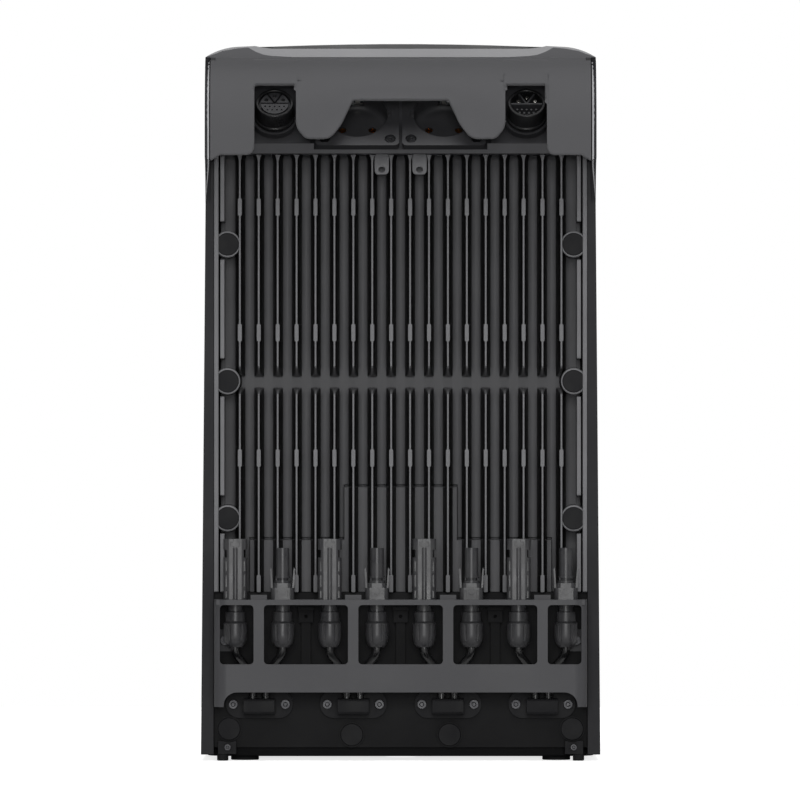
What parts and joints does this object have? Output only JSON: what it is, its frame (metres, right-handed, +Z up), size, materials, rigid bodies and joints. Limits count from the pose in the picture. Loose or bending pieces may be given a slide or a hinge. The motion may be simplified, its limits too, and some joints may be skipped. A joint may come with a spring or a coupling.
{
  "type": "solar storage tower with built-in inverter",
  "caption": "Upright solar storage unit with a built-in string inverter: finned rear heat sink, parked solar connectors behind a guard, mains outlets under a soft rain flap.",
  "frame": {"origin": "middle of the footprint, on the floor", "axes": "+Z up, -Y out of the rear face with the fins and connectors, +X to the right as that face is seen"},
  "size_m": [0.256, 0.28, 0.46],
  "materials": {
    "case_paint": "fine powder coat, satin black",
    "sink_coat": "die cast, black coated",
    "panel_coat": "smooth black coat",
    "guard_coat": "satin black powder coat",
    "flap_rubber": "soft matte charcoal",
    "dark_plastic": "moulded, matte black",
    "deck_plastic": "moulded, matte black",
    "outlet_plastic": "moulded, satin black",
    "insert_plastic": "moulded, satin black",
    "plug_plastic": "moulded, fine grain",
    "connector_plastic": "glass-filled, satin black",
    "component_plastic": "moulding compound",
    "button_plastic": "satin",
    "can_sleeve": "shrink sleeve",
    "seal_rubber": "matte",
    "lead_jacket": "smooth cable jacket",
    "pad_silicone": "soft grey",
    "nickel": "nickel plated",
    "contact_tin": "tin plated copper",
    "contact_brass": "plain",
    "black_screw": "black zinc",
    "chassis_steel": "zinc coated",
    "cell_can": "blue film over the can",
    "terminal_alloy": "bare",
    "busbar_metal": "bare",
    "spring_steel": "plain",
    "circuit_board": "solder mask",
    "light_bar": "frosted"
  },
  "bodies": {
    "cabinet": {"outer_shell": "case_paint", "top_cap": "case_paint", "bottom_tray": "dark_plastic", "heat_sink": "sink_coat", "connection_plate": "panel_coat", "screw_plugs": "plug_plastic", "case_gasket": "seal_rubber", "socket_deck": "deck_plastic", "outlet_left": "outlet_plastic", "outlet_right": "outlet_plastic", "outlet_earth_clips": "nickel", "outlet_contacts": "contact_brass", "outlet_screws": "black_screw", "grid_outlet_housing": "outlet_plastic", "grid_inlet_housing": "outlet_plastic", "grid_collars": "deck_plastic", "grid_inserts": "insert_plastic", "grid_contacts": "nickel", "flap_hinge_rod": "nickel", "guard_bracket": "guard_coat", "guard_screws": "black_screw", "pv_gland_nuts": "connector_plastic", "pv_contacts": "contact_tin", "lead_outlets": "deck_plastic", "lead_outlet_screws": "black_screw", "foot_tabs": "plug_plastic", "foot_screws": "black_screw", "feet": "seal_rubber", "chassis_plate": "chassis_steel", "battery_cells": "cell_can", "cell_frames": "dark_plastic", "cell_terminals": "terminal_alloy", "busbars": "busbar_metal", "bms_board": "circuit_board", "inverter_board": "circuit_board", "power_modules": "component_plastic", "thermal_pad": "pad_silicone", "magnetics": "component_plastic", "bus_capacitors": "can_sleeve", "button_spring": "spring_steel", "button_board": "circuit_board", "light_guide": "light_bar", "pv_socket_1": "connector_plastic", "pv_plug_1": "connector_plastic", "pv_socket_2": "connector_plastic", "pv_plug_2": "connector_plastic", "pv_socket_3": "connector_plastic", "pv_plug_3": "connector_plastic", "pv_socket_4": "connector_plastic", "pv_plug_4": "connector_plastic", "pv_lead_1": "lead_jacket", "pv_lead_2": "lead_jacket", "pv_lead_3": "lead_jacket", "pv_lead_4": "lead_jacket", "pv_lead_5": "lead_jacket", "pv_lead_6": "lead_jacket", "pv_lead_7": "lead_jacket", "pv_lead_8": "lead_jacket"},
    "rain_flap": {"rain_flap": "flap_rubber"},
    "power_button": {"power_button": "button_plastic"}
  },
  "joints": [
    {"name": "flap_hinge", "type": "hinge", "parent": "cabinet", "child": "rain_flap", "pos_m": [0, -0.113, 0.4474], "axis": [-1, 0, 0], "range_deg": [0, 115]},
    {"name": "button_press", "type": "slide", "parent": "cabinet", "child": "power_button", "axis": [0, -1, 0], "range_m": [0, 0.0012], "stiffness_N_per_m": 800, "springref_m": -0.001}
  ]
}
